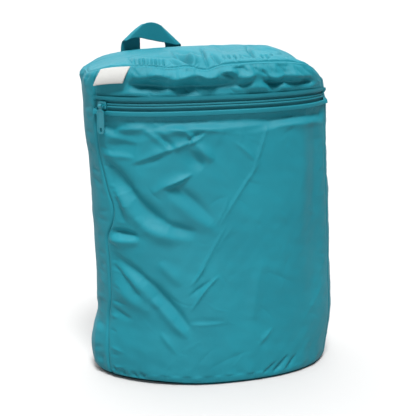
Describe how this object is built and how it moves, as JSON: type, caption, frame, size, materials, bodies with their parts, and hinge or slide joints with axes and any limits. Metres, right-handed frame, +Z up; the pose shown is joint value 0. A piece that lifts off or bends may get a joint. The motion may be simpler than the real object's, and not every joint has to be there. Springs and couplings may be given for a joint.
{
  "type": "wet_bag",
  "caption": "Soft wet bag of thin coated cloth for carrying damp cloths: a slouching oval bag with a zip across its front, a ribbon handle on top and a hanging zip pull",
  "frame": {"origin": "The middle of the bag's flat base, on the surface it stands on.", "axes": "+X runs to the right across the front of the bag, +Y from its front to its back, +Z up. Metres."},
  "size_m": [0.3092, 0.171, 0.4253],
  "materials": {
    "cloth": "coated woven polyester with a soft sheen",
    "zip_tape": "woven polyester tape",
    "zip_coil": "moulded nylon coil",
    "painted_slider": "die-cast zinc with satin paint",
    "label_cloth": "woven satin ribbon, blank"
  },
  "bodies": {
    "bag": {"front_panel": "cloth", "front_yoke": "cloth", "back_panel": "cloth", "top_panel": "cloth", "base_panel": "cloth", "zip_tape_upper": "zip_tape", "zip_tape_lower": "zip_tape", "zip_chain": "zip_coil", "label": "label_cloth", "handle_strap": "cloth", "zip_slider": "painted_slider"},
    "zip_pull": {"zip_pull": "painted_slider"}
  },
  "joints": [
    {"name": "zip_pull_swing", "type": "hinge", "parent": "bag", "child": "zip_pull", "pos_m": [-0.13877, -0.04571, 0.344], "axis": [-0.7959, 0.6054, 0], "range_deg": [0, 150]}
  ]
}
